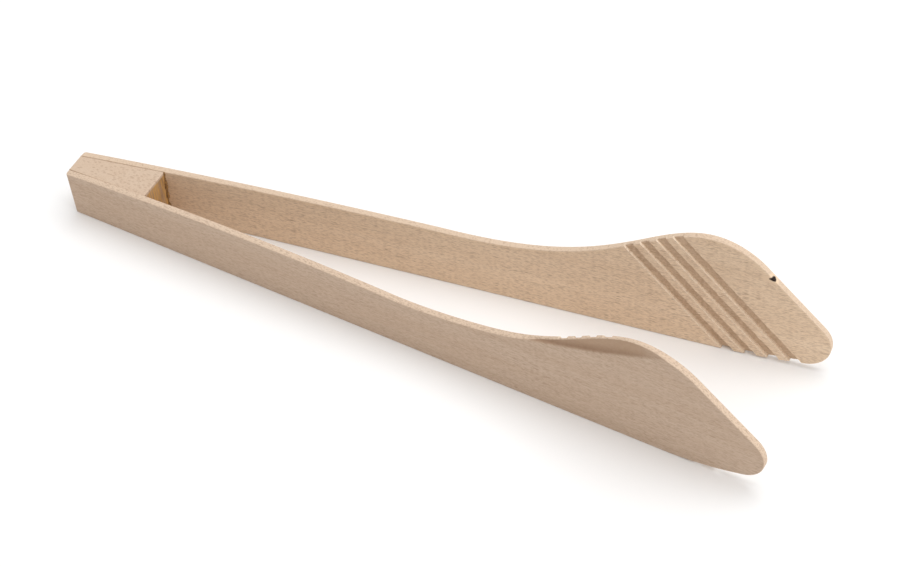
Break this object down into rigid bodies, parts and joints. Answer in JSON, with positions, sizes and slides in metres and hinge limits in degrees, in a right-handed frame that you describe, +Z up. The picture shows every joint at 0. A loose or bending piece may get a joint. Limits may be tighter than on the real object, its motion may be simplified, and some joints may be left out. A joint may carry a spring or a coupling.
{
  "type": "kitchen tongs",
  "caption": "Wooden spring tongs: two thin flat arms glued to a wedge block at the butt, with humped paddle ends and slanted grip grooves on the inner faces.",
  "frame": {"origin": "on the table plane, under the centre of the bounding box", "axes": "+X from the glued butt to the paddle tips, +Y towards the left arm, +Z up"},
  "size_m": [0.2999, 0.0634, 0.0523],
  "materials": {
    "beech_arm": "fine sanded, unfinished beech",
    "beech_block": "fine sanded beech, end grain up",
    "wood_glue": "dried wood glue"
  },
  "bodies": {
    "handle": {"wedge_block": "beech_block", "left_glue_seam": "wood_glue", "right_glue_seam": "wood_glue", "left_arm_root": "beech_arm", "right_arm_root": "beech_arm"},
    "left_arm": {"left_arm_blade": "beech_arm"},
    "right_arm": {"right_arm_blade": "beech_arm"}
  },
  "joints": [
    {"name": "left_arm_flex", "type": "hinge", "parent": "handle", "child": "left_arm", "pos_m": [-0.0735, 0.00973, 0], "axis": [0, 0, 1], "range_deg": [-7.2, 0], "stiffness_Nm_per_rad": 6},
    {"name": "right_arm_flex", "type": "hinge", "parent": "handle", "child": "right_arm", "pos_m": [-0.0735, -0.00973, 0], "axis": [0, 0, 1], "range_deg": [0, 7.2], "stiffness_Nm_per_rad": 6}
  ]
}
